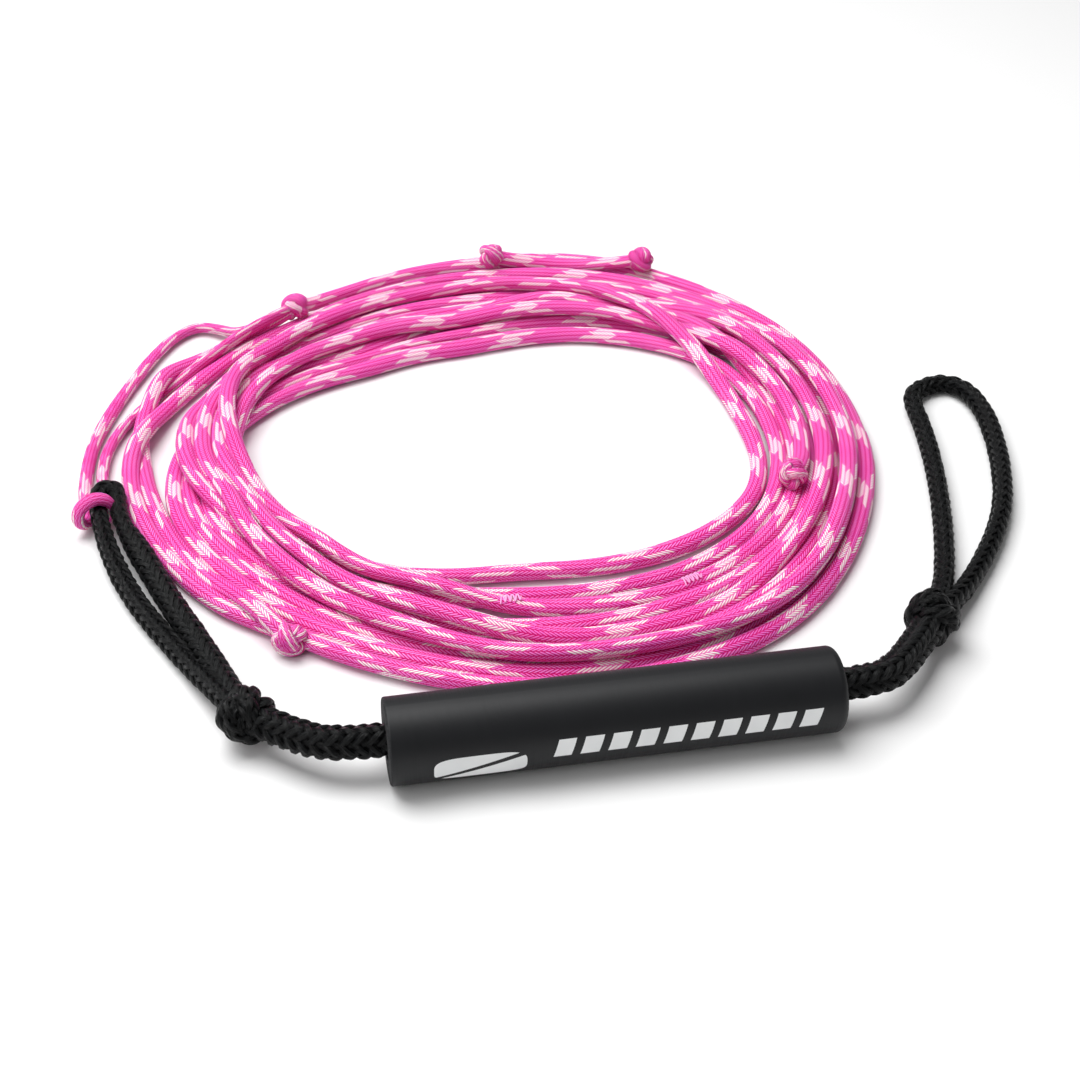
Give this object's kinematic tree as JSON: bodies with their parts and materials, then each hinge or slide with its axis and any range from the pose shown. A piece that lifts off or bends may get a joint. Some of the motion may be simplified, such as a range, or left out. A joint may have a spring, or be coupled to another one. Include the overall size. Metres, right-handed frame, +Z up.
{
  "type": "tow line with float grip",
  "caption": "Coiled braided tow line hitched to a short bridle rope that runs through a foam float grip and ends in knotted eyes.",
  "frame": {"origin": "on the floor under the middle of the float, which stands on z = 0", "axes": "+X along the float towards the boat-end eye, +Y towards the coil, +Z up"},
  "size_m": [0.4179, 0.407, 0.032],
  "materials": {
    "foam": "satin closed-cell foam skin",
    "black_rope": "coarse twelve-strand hollow braid",
    "pink_line": "fine hollow braid in pink and white yarn",
    "stitch_thread": "waxed zig-zag stitching"
  },
  "bodies": {
    "rope": {"bridle_cover": "black_rope", "bridle_buried_tail": "black_rope", "line_end_knot": "black_rope", "boat_end_knot": "black_rope", "line_end_eye_leg": "black_rope", "line_end_eye": "black_rope", "boat_end_eye": "black_rope", "main_line_hitch": "pink_line", "line_eye_outer_leg": "pink_line", "line_eye_inner_leg": "pink_line", "main_line_coil": "pink_line", "take_off_knot_1": "pink_line", "take_off_knot_2": "pink_line", "take_off_knot_3": "pink_line", "take_off_knot_4": "pink_line", "coil_hitch": "pink_line", "splice_stitch_1": "stitch_thread", "splice_stitch_2": "stitch_thread"},
    "float": {"float_grip": "foam"}
  },
  "joints": [
    {"name": "float_spin", "type": "hinge", "parent": "rope", "child": "float", "pos_m": [0, 0, 0.016], "axis": [1, 0, 0], "continuous": true}
  ]
}
